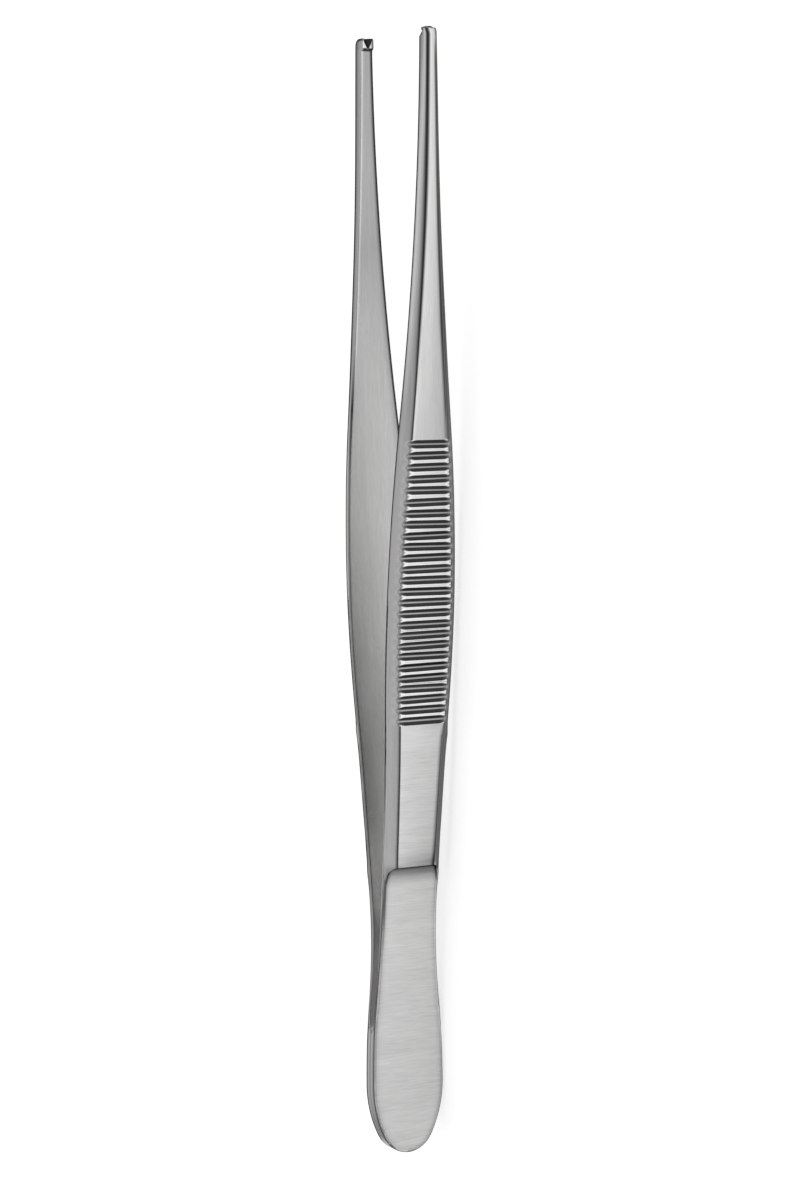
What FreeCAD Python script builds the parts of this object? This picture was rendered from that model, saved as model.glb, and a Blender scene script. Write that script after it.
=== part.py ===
import FreeCAD, Part
import Sketcher
import math
import os
import re

os.makedirs("parts", exist_ok=True)

# Tissue forceps with one tooth on one tip and two on the other,
# made of two mirrored spring steel arms that are welded at the butt.
# Each arm is drawn with its length along Y from the butt end, its weld face in the plane X = 0
# and its width along Z. Then it is placed so that the pair lies on its side edges.

document = FreeCAD.newDocument("TissueForceps")

# Driving sizes, in millimetres and degrees
sizes = {
    "overall_length": 145.0,
    # plan outline, with half widths at the places where it is widest or narrowest
    "nose_radius": 3.8,
    "butt_y": 8.95,
    "butt_half_width": 5.08,
    "butt_flank_radius": 120.0,
    "waist_y": 31.45,
    "waist_half_width": 3.96,
    "waist_flare_radius": 600.0,
    "grip_y": 68.45,
    "grip_half_width": 4.76,
    "grip_fall_radius": 280.0,
    "slim_y": 150.45,
    "slim_half_width": 0.88,
    # bow of the arm in side view
    "crest_y": 148.4,
    "crest_half_gap": 8.08,
    "shoulder_half_gap": 1.78,
    "arm_thickness": 1.9,
    "tip_round": 1.25,
    # weld, slot and spring leaf below the shoulder
    "butt_thickness": 1.25,
    "butt_chamfer": 0.25,
    "weld_end_y": 15.75,
    "slot_y": 18.45,
    "slot_half_gap": 0.75,
    "leaf_inner_y": 22.45,
    "leaf_outer_y": 16.45,
    "leaf_outer_radius": 163.0,
    "shoulder_y": 37.3,
    "cove_radius": 0.85,
    # straight land beside the inner face, with the bevel above it
    "root_land": 0.55,
    "tip_land": 1.35,
    # grooves across the outer face
    "groove_count": 26,
    "first_groove_y": 56.35,
    "groove_pitch": 1.4175,
    "groove_width": 1.09,
    "groove_floor": 0.26,
    "groove_depth": 0.28,
    # teeth
    "single_tooth_reach": 1.05,
    "single_tooth_length": 0.65,
    "single_tooth_flat": 0.25,
    "single_tooth_height": 1.75,
    "single_tooth_half_width": 0.45,
    "single_tooth_slant": 40.0,
    "paired_tooth_reach": 0.4,
    "paired_tooth_length": 1.65,
    "paired_tooth_flat": 1.3,
    "paired_tooth_slant": 62.0,
    "notch_depth": 0.75,
    "notch_half_width": 0.8,
}

# Where the bevel is set out: place along the arm, half width of the outer face, run of the bevel
bevelStations = {
    "root": (33.0, 2.72, 1.24),
    "neck": (50.0, 3.02, 1.22),
    "grip": (70.0, 3.56, 1.2),
    "fall": (86.0, 2.96, 1.24),
    "taper": (102.0, 2.0, 0.92),
    "shank": (122.0, 1.02, 0.56),
    "tip": (147.0, 0.59, 0.3),
}
for station, (place, faceHalfWidth, run) in bevelStations.items():
    sizes[f"{station}_y"] = place
    sizes[f"{station}_face_half_width"] = faceHalfWidth
    sizes[f"{station}_bevel_run"] = run

# How far a cutting outline runs past the material, so that no two faces lie on each other
margin = 1.0

# Sizes worked out from the driving ones
derived = {
    "bow_rise": "crest_half_gap - shoulder_half_gap",
    "bow_radius": "((crest_y - shoulder_y) ^ 2 + bow_rise ^ 2) / (2 * bow_rise)",
    "bow_centre_x": "crest_half_gap - bow_radius",
    "outer_bow_radius": "bow_radius + arm_thickness",
    "butt_round_radius": "((butt_y - nose_radius) ^ 2 + butt_half_width ^ 2 - nose_radius ^ 2)"
    " / (2 * (butt_half_width - nose_radius))",
    "nose_share": "nose_radius / (butt_round_radius - nose_radius)",
    "blank_end_y": f"overall_length + {margin}",
    "blank_thickness": f"crest_half_gap + arm_thickness + {margin}",
    "leaf_start_half_width": "butt_half_width - butt_flank_radius"
    " + sqrt(butt_flank_radius ^ 2 - (leaf_outer_y - butt_y) ^ 2)",
    "groove_turn": "(groove_count - 1) * groove_pitch / outer_bow_radius * 180 / pi",
    "tip_round_y": "overall_length - tip_round",
}


def innerBow(y):
    return f"(bow_centre_x + sqrt(bow_radius ^ 2 - (crest_y - {y}) ^ 2))"


def outerBow(y):
    return f"(bow_centre_x + sqrt(outer_bow_radius ^ 2 - (crest_y - {y}) ^ 2))"


# Outer surface of the spring leaf, an arc that leaves the butt level
def outerLeaf(y):
    fall = f"sqrt(leaf_outer_radius ^ 2 - ({y} - leaf_outer_y) ^ 2)"
    return f"(butt_thickness + leaf_outer_radius - {fall})"


# Two arcs that leave their ends level meet on the line between those ends,
# at a share of it that the first arc's radius sets.
def addSweep(name, start, end, radius):
    (startY, startX), (endY, endX) = start, end
    total = f"((({endY} - {startY}) ^ 2 + ({endX} - {startX}) ^ 2) / (2 * abs({endX} - {startX})))"
    derived[f"{name}_share"] = f"{radius} / {total}"
    derived[f"{name}_joint_y"] = f"{startY} + {name}_share * ({endY} - {startY})"
    derived[f"{name}_joint_x"] = f"{startX} + {name}_share * ({endX} - {startX})"


butt = ("butt_y", "butt_half_width")
waist = ("waist_y", "waist_half_width")
grip = ("grip_y", "grip_half_width")
slim = ("slim_y", "slim_half_width")
addSweep("flank", butt, waist, "butt_flank_radius")
addSweep("flare", waist, grip, "waist_flare_radius")
addSweep("taper", grip, slim, "grip_fall_radius")
derived["taper_end_radius"] = "grip_fall_radius / taper_share - grip_fall_radius"
addSweep("leaf", ("crest_y", "crest_half_gap"), ("leaf_inner_y", "slot_half_gap"), "bow_radius")

sheet = document.addObject("Spreadsheet::Sheet", "Sizes")
for row, name in enumerate([*sizes, *derived], start=1):
    sheet.set(f"A{row}", name)
    sheet.set(f"B{row}", str(sizes[name]) if name in sizes else "=" + derived[name])
    sheet.setAlias(f"B{row}", name)
document.recompute()


def sheetFormula(formula):
    return re.sub(
        r"[a-z]\w+",
        lambda word: "Sizes." + word[0] if word[0] in sizes or word[0] in derived else word[0],
        str(formula),
    )


def evaluate(formula):
    return float(sheet.evalExpression(sheetFormula(formula)))


def bind(feature, target, formula):
    feature.setExpression(target, sheetFormula(formula))


def originPlane(body, role):
    return next(item for item in body.Origin.OriginFeatures if item.Role == role)


# Sketch on one of the body's own origin planes, moved off it by formulas
# and turned about an axis of the plane by an angle in degrees
def addSketch(body, name, role, offset=None, axis=None, angle=None):
    sketch = body.newObject("Sketcher::SketchObject", name)
    sketch.AttachmentSupport = (originPlane(body, role), "")
    sketch.MapMode = "FlatFace"
    for direction, formula in (offset or {}).items():
        bind(sketch, f".AttachmentOffset.Base.{direction}", formula)
    if axis is not None:
        sketch.AttachmentOffset.Rotation = FreeCAD.Rotation(FreeCAD.Vector(*axis), 1)
        bind(sketch, ".AttachmentOffset.Rotation.Angle", angle)
    return sketch


def constrain(sketch, kind, *where):
    return sketch.addConstraint(Sketcher.Constraint(kind, *where))


def dimension(sketch, kind, where, formula):
    index = constrain(sketch, kind, *where, evaluate(formula))
    bind(sketch, f"Constraints[{index}]", formula)


# Puts a point at two formulas measured from the sketch's origin
def fixPoint(sketch, geometry, point, corner):
    for kind, axis, formula in (("DistanceX", -2, corner[0]), ("DistanceY", -1, corner[1])):
        if formula == 0:
            constrain(sketch, "PointOnObject", geometry, point, axis)
        else:
            dimension(sketch, kind, (-1, 1, geometry, point), formula)


# Centre of an arc through two points, from one of its coordinates or from its radius
def findCentre(start, end, bend):
    chord = end - start
    middle = (start + end) * 0.5
    if "radius" in bend and "x" not in bend and "y" not in bend:
        side = FreeCAD.Vector(-chord.y, chord.x).normalize()
        rise = math.sqrt(evaluate(bend["radius"]) ** 2 - chord.Length ** 2 / 4)
        return middle + side * (rise if bend["turn"] == "left" else -rise)
    if "x" in bend:
        x = evaluate(bend["x"])
        return FreeCAD.Vector(x, middle.y - chord.x * (x - middle.x) / chord.y)
    y = evaluate(bend["y"])
    return FreeCAD.Vector(middle.x - chord.y * (y - middle.y) / chord.x, y)


# Closed outline through corners given as formulas. A bend turns the side after its corner
# into an arc, and a smooth corner is found by tangency, with its formulas as a first guess.
def drawOutline(sketch, corners, bends=None, smooth=()):
    bends = bends or {}
    points = [FreeCAD.Vector(evaluate(x), evaluate(y)) for x, y in corners]
    ends = []
    for index, start in enumerate(points):
        end = points[(index + 1) % len(points)]
        bend = bends.get(index)
        if bend is None:
            sketch.addGeometry(Part.LineSegment(start, end))
            ends.append((1, 2))
            continue
        centre = findCentre(start, end, bend)
        first, last = (start, end) if bend["turn"] == "left" else (end, start)
        angles = [math.atan2(point.y - centre.y, point.x - centre.x) for point in (first, last)]
        if angles[1] < angles[0]:
            angles[1] += 2 * math.pi
        circle = Part.Circle(centre, FreeCAD.Vector(0, 0, 1), (start - centre).Length)
        sketch.addGeometry(Part.ArcOfCircle(circle, *angles))
        ends.append((1, 2) if bend["turn"] == "left" else (2, 1))
    for index, corner in enumerate(corners):
        before = index - 1 if index else len(corners) - 1
        joint = (before, ends[before][1], index, ends[index][0])
        if index in smooth:
            constrain(sketch, "Tangent", *joint)
            continue
        constrain(sketch, "Coincident", *joint)
        fixPoint(sketch, index, ends[index][0], corner)
    for index, bend in bends.items():
        if "radius" in bend:
            dimension(sketch, "Radius", (index,), bend["radius"])
        for axis, kind, origin in (("x", "DistanceX", -2), ("y", "DistanceY", -1)):
            if axis in bend and bend[axis] == 0:
                constrain(sketch, "PointOnObject", index, 3, origin)
            elif axis in bend:
                dimension(sketch, kind, (-1, 1, index, 3), bend[axis])


def cutThrough(body, name, sketch):
    pocket = body.newObject("PartDesign::Pocket", name)
    pocket.Profile = sketch
    pocket.Type = "ThroughAll"
    pocket.SideType = "Symmetric"
    return pocket


def mirror(body, name, feature):
    mirrored = body.newObject("PartDesign::Mirrored", name)
    mirrored.Originals = [feature]
    mirrored.MirrorPlane = (originPlane(body, "XY_Plane"), [""])
    body.Tip = mirrored
    return mirrored


def padHalf(body, name, sketch, length):
    pad = body.newObject("PartDesign::Pad", f"Half{name}")
    pad.Profile = sketch
    bind(pad, "Length", length)
    return mirror(body, name, pad)


# Rounded butt plate with a chamfer along its outer edge, as far as the start of the leaf
def addButtPlate(body):
    sketch = addSketch(body, "ButtOutline", "YZ_Plane")
    noseJoint = (
        "nose_radius + nose_share * (nose_radius - butt_y)",
        "nose_share * (butt_round_radius - butt_half_width)",
    )
    corners = [(0, 0), noseJoint, butt, ("leaf_outer_y", "leaf_start_half_width"), ("leaf_outer_y", 0)]
    bends = {
        0: {"turn": "right", "x": "nose_radius"},
        1: {"turn": "right", "x": "butt_y"},
        2: {"turn": "right", "x": "butt_y"},
    }
    drawOutline(sketch, corners, bends)
    plate = padHalf(body, "ButtPlate", sketch, "butt_thickness")
    document.recompute()
    outside = evaluate("butt_thickness")
    names = []
    for index, edge in enumerate(plate.Shape.Edges, start=1):
        points = edge.discretize(3)
        onFace = all(abs(point.x - outside) < 1e-4 for point in points)
        if onFace and abs(points[0].y - points[1].y) > 1e-3:
            names.append(f"Edge{index}")
    chamfer = body.newObject("PartDesign::Chamfer", "ButtEdge")
    chamfer.Base = (plate, names)
    bind(chamfer, "Size", "butt_chamfer")


# Blank of the leaf and the arm, with the plan outline from the butt plate to the tip
def addArmBlank(body):
    sketch = addSketch(body, "ArmOutline", "YZ_Plane")
    corners = [
        ("leaf_outer_y", 0),
        ("leaf_outer_y", "leaf_start_half_width"),
        ("flank_joint_y", "flank_joint_x"),
        waist,
        ("flare_joint_y", "flare_joint_x"),
        grip,
        ("taper_joint_y", "taper_joint_x"),
        (
            "blank_end_y",
            "slim_half_width + taper_end_radius - sqrt(taper_end_radius ^ 2 - (slim_y - blank_end_y) ^ 2)",
        ),
        ("blank_end_y", 0),
    ]
    bends = {
        1: {"turn": "right", "x": "butt_y"},
        2: {"turn": "left", "x": "waist_y"},
        3: {"turn": "left", "x": "waist_y"},
        4: {"turn": "right", "x": "grip_y"},
        5: {"turn": "right", "x": "grip_y"},
        6: {"turn": "left", "x": "slim_y"},
    }
    drawOutline(sketch, corners, bends)
    padHalf(body, "ArmBlank", sketch, "blank_thickness")


# Outer side profile: spring leaf, coved shoulder, bowed face and rounded tip
def cutOuterProfile(body):
    sketch = addSketch(body, "OuterProfile", "XY_Plane")
    tipCentreX = "(bow_centre_x + sqrt((outer_bow_radius - tip_round) ^ 2 - (crest_y - tip_round_y) ^ 2))"
    tipShare = "(outer_bow_radius / (outer_bow_radius - tip_round))"
    outside, past = f"blank_thickness + {margin}", f"blank_end_y + {margin}"
    coveY = "shoulder_y - cove_radius"
    corners = [
        ("butt_thickness", "leaf_outer_y"),
        (outerLeaf(coveY), coveY),
        (f"{outerLeaf(coveY)} + cove_radius", "shoulder_y"),
        (outerBow("shoulder_y"), "shoulder_y"),
        (
            f"bow_centre_x + {tipShare} * ({tipCentreX} - bow_centre_x)",
            f"crest_y + {tipShare} * (tip_round_y - crest_y)",
        ),
        (tipCentreX, "overall_length"),
        (-margin, "overall_length"),
        (-margin, past),
        (outside, past),
        (outside, f"leaf_outer_y - {margin}"),
    ]
    bends = {
        0: {"turn": "right", "y": "leaf_outer_y", "radius": "leaf_outer_radius"},
        1: {"turn": "right", "y": coveY, "radius": "cove_radius"},
        3: {"turn": "left", "y": "crest_y"},
        4: {"turn": "left", "y": "tip_round_y"},
    }
    drawOutline(sketch, corners, bends, smooth=(1, 2))
    cutThrough(body, "OuterFace", sketch)


# Inner side profile: pointed end of the slot, inside of the leaf, bowed face and tooth
def cutInnerProfile(body, tooth):
    sketch = addSketch(body, "InnerProfile", "XY_Plane")
    toothX = f"crest_half_gap - {tooth}_reach"
    toothBaseY = f"(overall_length - {tooth}_length)"
    corners = [
        (0, "weld_end_y"),
        ("slot_half_gap", "slot_y"),
        ("slot_half_gap", "leaf_inner_y"),
        ("leaf_joint_x", "leaf_joint_y"),
        (innerBow(toothBaseY), toothBaseY),
        (toothX, f"overall_length - {tooth}_flat"),
        (toothX, f"overall_length + {margin}"),
        (-margin, f"overall_length + {margin}"),
        (-margin, "weld_end_y"),
    ]
    bends = {
        0: {"turn": "left", "y": "slot_y"},
        2: {"turn": "right", "y": "leaf_inner_y"},
        3: {"turn": "left", "y": "crest_y"},
    }
    drawOutline(sketch, corners, bends)
    cutThrough(body, "InnerFace", sketch)


# Edge cut away by a loft through triangles that reach past it on both sides.
# Each section gives the place, the edge of the outer face, the drop below it and the run beside it.
def cutEdge(body, name, sections):
    overrun = 0.5
    sketches = []
    for index, (place, faceX, faceZ, drop, run) in enumerate(sections, start=1):
        sketch = addSketch(body, f"{name}Section{index}", "XZ_Plane", {"z": f"-{place}"})
        lowX, highX = f"{faceX} - {drop} * {1 + overrun}", f"{faceX} + {drop} * {overrun}"
        lowZ, highZ = f"{faceZ} + {run} * {1 + overrun}", f"{faceZ} - {run} * {overrun}"
        drawOutline(sketch, [(lowX, lowZ), (highX, highZ), (highX, lowZ)])
        sketches.append(sketch)
    loft = body.newObject("PartDesign::SubtractiveLoft", f"Half{name}")
    loft.Profile = sketches[0]
    loft.Sections = sketches[1:]
    mirror(body, name, loft)


# The chamfer of the butt runs on along the leaf into the shoulder
def cutLeafEdge(body):
    flare = "sqrt(waist_flare_radius ^ 2 - (shoulder_y - waist_y) ^ 2)"
    places = [
        ("leaf_outer_y", "leaf_start_half_width"),
        ("flank_joint_y", "flank_joint_x"),
        waist,
        ("shoulder_y", f"waist_half_width + waist_flare_radius - {flare}"),
    ]
    chamfer = "butt_chamfer"
    sections = [(y, outerLeaf(y), f"({z} - {chamfer})", chamfer, chamfer) for y, z in places]
    cutEdge(body, "LeafEdge", sections)


def cutBevels(body):
    sections = []
    for station in bevelStations:
        place = f"{station}_y"
        land = f"(root_land + (tip_land - root_land) * ({place} - root_y) / (tip_y - root_y))"
        drop, run = f"(arm_thickness - {land})", f"{station}_bevel_run"
        sections.append((place, outerBow(place), f"{station}_face_half_width", drop, run))
    cutEdge(body, "Bevels", sections)


# Grooves ground across the outer face, turned about the centre of its bow
def cutGrooves(body):
    centre = {"x": "bow_centre_x", "y": "crest_y"}
    angle = "asin((crest_y - first_groove_y) / outer_bow_radius)"
    sketch = addSketch(body, "GrooveSection", "XY_Plane", centre, (0, 0, -1), angle)
    above = "outer_bow_radius + groove_depth"
    opening = "(groove_width - groove_floor / 2)"
    floor = "outer_bow_radius - groove_depth"
    corners = [
        (above, opening),
        (floor, "groove_floor / 2"),
        (floor, "-groove_floor / 2"),
        (above, f"-{opening}"),
    ]
    drawOutline(sketch, corners)
    groove = cutThrough(body, "Groove", sketch)
    grooves = body.newObject("PartDesign::PolarPattern", "Grooves")
    grooves.Originals = [groove]
    grooves.Axis = (sketch, ["N_Axis"])
    bind(grooves, "Angle", "groove_turn")
    bind(grooves, "Occurrences", "groove_count")
    body.Tip = grooves


# Sketch square to the slanted cut that forms the teeth, with its origin at the tooth's tip
# and its x axis pointing down into the tip
def addSlantedSketch(body, name, tooth):
    offset = {"x": f"crest_half_gap - {tooth}_reach", "z": "-overall_length"}
    return addSketch(body, name, "XZ_Plane", offset, (0, -1, 0), f"90 - {tooth}_slant")


# Two shoulders that leave a single tooth with sloping flanks in the middle of the tip
def cutSingleTooth(body):
    sketch = addSlantedSketch(body, "ToothFlanks", "single_tooth")
    foot, side, depth = "single_tooth_half_width", "2 * slim_half_width", "single_tooth_height"
    corners = [
        (0, 0),
        (depth, f"-{foot}"),
        (depth, f"-{side}"),
        (-margin, f"-{side}"),
        (-margin, side),
        (depth, side),
        (depth, foot),
    ]
    drawOutline(sketch, corners)
    cutThrough(body, "SingleTooth", sketch)


# Notch that leaves a tooth at each corner of the tip
def cutPairedTeeth(body):
    sketch = addSlantedSketch(body, "NotchSection", "paired_tooth")
    side = f"notch_half_width * (1 + {margin} / notch_depth)"
    drawOutline(sketch, [("notch_depth", 0), (-margin, side), (-margin, f"-{side}")])
    cutThrough(body, "PairedTeeth", sketch)


def makeArm(label, tooth, cutTeeth):
    body = document.addObject("PartDesign::Body", label)
    body.Label = label
    addButtPlate(body)
    addArmBlank(body)
    cutOuterProfile(body)
    cutInnerProfile(body, tooth)
    cutLeafEdge(body)
    cutBevels(body)
    cutGrooves(body)
    cutTeeth(body)
    return body


nearArm = makeArm("one_tooth_arm", "single_tooth", cutSingleTooth)
farArm = makeArm("two_tooth_arm", "paired_tooth", cutPairedTeeth)
document.recompute()

for item in document.Objects:
    bad = {"Invalid", "Error"} & set(item.State)
    if bad:
        raise SystemExit(f"{item.Name} failed: {item.State}")

arms = (nearArm, farArm)
farArm.Placement.Rotation = FreeCAD.Rotation(FreeCAD.Vector(0, 1, 0), 180)
for arm in arms:
    bind(arm, "Placement.Base.y", "-overall_length / 2")
    bind(arm, "Placement.Base.z", "butt_half_width")
document.recompute()
for arm in arms:
    shape = arm.Shape
    if shape.isNull() or not shape.isValid() or len(shape.Solids) != 1:
        raise SystemExit(f"{arm.Label} is not one valid solid")
    shape.exportStep(f"parts/{arm.Label}.step")
    box = shape.BoundBox
    print(arm.Label, round(shape.Volume, 2), "mm3", box)
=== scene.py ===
import math
import random

import bmesh
import bpy
from mathutils import Matrix, Vector


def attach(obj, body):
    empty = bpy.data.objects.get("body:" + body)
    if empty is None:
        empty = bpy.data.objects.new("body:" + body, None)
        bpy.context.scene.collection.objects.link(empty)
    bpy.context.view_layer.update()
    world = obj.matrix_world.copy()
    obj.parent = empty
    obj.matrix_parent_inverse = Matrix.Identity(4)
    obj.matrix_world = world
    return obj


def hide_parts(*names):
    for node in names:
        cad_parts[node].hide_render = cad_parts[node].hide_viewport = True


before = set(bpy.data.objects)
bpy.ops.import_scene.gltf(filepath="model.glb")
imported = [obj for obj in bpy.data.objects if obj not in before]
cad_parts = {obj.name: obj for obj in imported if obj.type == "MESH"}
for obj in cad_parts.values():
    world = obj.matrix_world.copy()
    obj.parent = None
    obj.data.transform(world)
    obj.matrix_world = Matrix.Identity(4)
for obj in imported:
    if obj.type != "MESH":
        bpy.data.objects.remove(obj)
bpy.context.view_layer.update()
print("frame loaded")

# Both arms have the same shape, in millimetres: y runs along the arm from the butt end, x away
# from the weld face and z across the width. A pair starts with the distance along the arm, and
# its second value is a half width, a height over the weld face or a size at that place.
arm = {
    "length": 145.0,
    "noseRadius": 3.8,
    # half widths where the outline is widest or narrowest, with the radius that leaves each
    "butt": (8.95, 5.08),
    "flankRadius": 120.0,
    "waist": (31.45, 3.96),
    "flareRadius": 600.0,
    "grip": (68.45, 4.76),
    "gripFallRadius": 280.0,
    "slim": (150.45, 0.88),
    # bow of the inner face, from the shoulder to its crest just past the tip
    "crest": (148.4, 8.08),
    "shoulderHalfGap": 1.78,
    "thickness": 1.9,
    "tipRound": 1.25,
    "tipSideRound": (0.95, 1.1),  # round of the side band's outer corner, along and across the thickness
    "buttThickness": 1.25,
    "buttChamfer": 0.25,
    # slot past the weld, and the spring leaf
    "weldEnd": 15.75,
    "slot": (18.45, 0.75),
    "leafInner": 22.45,
    "leafOuter": 16.45,
    "leafOuterRadius": 163.0,
    "shoulder": 37.3,
    "coveRadius": 0.85,
    "shoulderRound": 0.15,
    # straight land beside the inner face, half width of the outer face, and run of the bevel between them
    "land": ((33.0, 0.55), (147.0, 1.35)),
    "faceHalfWidth": (
        (33.0, 2.72),
        (50.0, 3.02),
        (70.0, 3.56),
        (86.0, 2.96),
        (102.0, 2.0),
        (122.0, 1.02),
        (147.0, 0.59),
    ),
    "bevelRun": (
        (33.0, 1.24),
        (50.0, 1.22),
        (70.0, 1.2),
        (86.0, 1.24),
        (102.0, 0.92),
        (122.0, 0.56),
        (147.0, 0.3),
    ),
    "chamferToBevel": (34.0, 39.0),  # where the chamfer of the leaf turns into the bevel of the arm
    "edgeRadius": {"inner": 0.16, "seam": 0.07, "land": 0.16, "face": 0.16, "butt": 0.12},
    # corners of the shoulder, swept back on the bevels: radius, how far inside the face's edge they
    # start, and where the sweep fades above and below the shoulder
    "shoulderSweep": {"radius": 1.15, "inside": 0.15, "above": (0.8, 4.0), "below": (0.9, 1.6)},
}

# How finely the skin of an arm is divided
skin = {
    # steps round an edge, and from the middle of either face to its edge
    "edgeRound": 3,
    "innerHalf": 4,
    "outerHalf": 9,
    # rows round the nose and the widest part of the butt, and along the stretches of the arm
    "nose": 8,
    "buttRound": 14,
    "butt": 5,
    "slot": 14,
    "leaf": 14,
    "coveFoot": 2,
    "neck": 12,
    "shank": 34,
    # angles of the rows round the cove, the shoulder's edge and the tip
    "cove": (0, 15, 30, 45, 58, 70, 80, 86, 89.2),
    "shoulderEdge": (1.5, 15, 35, 60, 90),
    "tip": (0, 12, 25, 38, 50, 61, 71, 80, 90),
    # where rows lie before the round of the tip, and how far beside the slot, the shoulder and the
    # grooves the next stretch starts
    "beforeTip": (0.5, 0.4, 0.28, 0.18, 0.1),
    "besideSlot": 0.3,
    "besideShoulder": 0.4,
    "besideGrooves": 0.25,
    # rows on either side over which the spacing on the inner side is evened out, except for the
    # last millimetres at the tip
    "evenOver": 4,
    "unevenEnd": 3.0,
    # least width of the band between two edges, largest share of a side that a rounding takes, and
    # the least turn, in radians, that is rounded
    "leastSide": 0.03,
    "roundShare": 0.45,
    "leastTurn": 0.02,
}

grooves = {
    "count": 26,
    "first": 56.35,
    "pitch": 1.4175,
    "drift": 0.05,  # the pitch is wider by this share at the top and narrower at the bottom
    "unevenPitch": 0.045,
    "unevenTilt": 0.9,  # degrees
    "tiltTurn": (0.35, 0.65),  # where between two grooves one tilt turns into the next
    "unevenDepth": 0.03,
    "halfWidth": 0.545,
    "floorShare": 0.24,
    "depth": 0.28,
    "seed": 11,
    # places across a groove from the ridge below it to the one above, in half widths, where rows
    # of the skin lie, and their painted tones as in the painted sheen of the flats: painted shade on the
    # walls and painted highlights on the ridges
    "tones": (
        (-1.24, -0.35),
        (-1.11, -0.8),
        (-1.03, -0.6),
        (-0.97, 0.95),
        (-0.88, 1.0),
        (-0.68, 1.0),
        (-0.45, 0.95),
        (-0.27, 0.93),
        (-0.2, 0.85),
        (-0.09, 0.3),
        (0.09, 0.3),
        (0.2, 0.8),
        (0.27, 0.85),
        (0.45, 0.92),
        (0.68, 0.97),
        (0.88, 1.0),
        (0.97, 1.0),
        (1.03, -0.6),
        (1.11, -0.8),
        (1.24, -0.35),
    ),
    # painted tones of shade and highlight at the end of a groove and of a ridge by the same places, as in
    # the painted sheen of the edges
    "endTones": (
        (0.0, (0.0, 0.1, 0.3, 0.3, 0.3)),
        (0.2, (0.0, 0.1, 0.45, 0.75, 0.8)),
        (0.45, (0.0, 0.15, 0.6, 0.9, 0.95)),
        (0.68, (0.0, 0.3, 0.8, 0.9, 1.0)),
        (0.88, (0.1, 0.6, 0.3, -0.2, 0.8)),
        (0.97, (0.1, 0.6, -0.4, -1.0, 0.0)),
        (1.05, (0.1, 0.6, -0.8, -1.0, -0.8)),
        (1.12, (0.1, 0.6, -0.5, -1.0, -0.8)),
        (1.3, (0.1, 0.4, 0.8, 0.3, -1.0)),
    ),
    # painted shade of the grooves: where it ends, and how much darker the bevel is painted under their
    # ends
    "reach": 1.3,  # half widths beyond which a groove has no tone
    "lowerEnd": 0.5,  # how much darker the bevel is under the grooves' ends on the lower side
}

teeth = {
    "single": {
        "reach": 1.05,  # how far the tooth stands in from the crest
        "length": 0.65,
        "flat": 0.25,
        "slant": 40.0,
        "corner": 0.6,  # round of the tip's corners in plan
        "height": 1.75,
        "halfWidth": 0.45,
        "side": 1.8,  # half width of what is cut away
    },
    "paired": {
        "reach": 0.4,
        "length": 1.65,
        "flat": 1.3,
        "slant": 62.0,
        "corner": 0.25,
        "notchDepth": 0.75,
        "notchHalfWidth": 0.8,
    },
    "past": 1.0,  # how far a cut starts outside the tip
    "through": 4.0,  # how far it runs to either side of the tooth's end
}


# Values between stations along the arm
def between(stations, y):
    if y <= stations[0][0]:
        return stations[0][1]
    for (y0, low), (y1, high) in zip(stations, stations[1:]):
        if y <= y1:
            t = (y - y0) / (y1 - y0)
            return tuple(a + (b - a) * t for a, b in zip(low, high))
    return stations[-1][1]


def smoothStep(start, end, value):
    t = min(max((value - start) / (end - start), 0.0), 1.0)
    return t * t * (3 - 2 * t)


# Smooth curve through stations, level with the chord between each station's neighbours
def alongArm(stations, y):
    ys = [s[0] for s in stations]
    y = min(max(y, ys[0]), ys[-1])
    index = max(i for i in range(len(ys) - 1) if ys[i] <= y)
    (y0, v0), (y1, v1) = stations[index], stations[index + 1]

    def slopeAt(i):
        low, high = max(i - 1, 0), min(i + 1, len(ys) - 1)
        return (stations[high][1] - stations[low][1]) / (ys[high] - ys[low])

    t, span = (y - y0) / (y1 - y0), y1 - y0
    a, b = slopeAt(index) * span, slopeAt(index + 1) * span
    return v0 + t * a + t * t * (3 * (v1 - v0) - 2 * a - b) + t ** 3 * (2 * (v0 - v1) + a + b)


# Two arcs with level ends between two points, the first with a given radius
def sweep(start, end, radius, y):
    (y0, v0), (y1, v1) = start, end
    total = ((y1 - y0) ** 2 + (v1 - v0) ** 2) / (2 * abs(v1 - v0))
    joint = y0 + radius / total * (y1 - y0)
    side = 1 if v1 > v0 else -1
    if (y - joint) * (y1 - y0) < 0:
        return v0 + side * (radius - math.sqrt(radius ** 2 - (y - y0) ** 2))
    rest = total - radius
    return v1 - side * (rest - math.sqrt(rest ** 2 - (y1 - y) ** 2))


def bowAt(y, offset=0.0):
    rise = arm["crest"][1] - arm["shoulderHalfGap"]
    radius = ((arm["crest"][0] - arm["shoulder"]) ** 2 + rise ** 2) / (2 * rise)
    return arm["crest"][1] - radius + math.sqrt((radius + offset) ** 2 - (arm["crest"][0] - y) ** 2)


def buttRoundRadius():
    (y, w), nose = arm["butt"], arm["noseRadius"]
    return ((y - nose) ** 2 + w ** 2 - nose ** 2) / (2 * (w - nose))


def halfWidth(y, corner):
    length = arm["length"]
    if y < arm["waist"][0]:
        width = sweep(arm["butt"], arm["waist"], arm["flankRadius"], y)
    elif y < arm["grip"][0]:
        width = sweep(arm["waist"], arm["grip"], arm["flareRadius"], y)
    else:
        width = sweep(arm["grip"], arm["slim"], arm["gripFallRadius"], y)
    if y > length - corner:
        width += math.sqrt(max(corner ** 2 - (y - length + corner) ** 2, 0)) - corner
    return width


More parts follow.
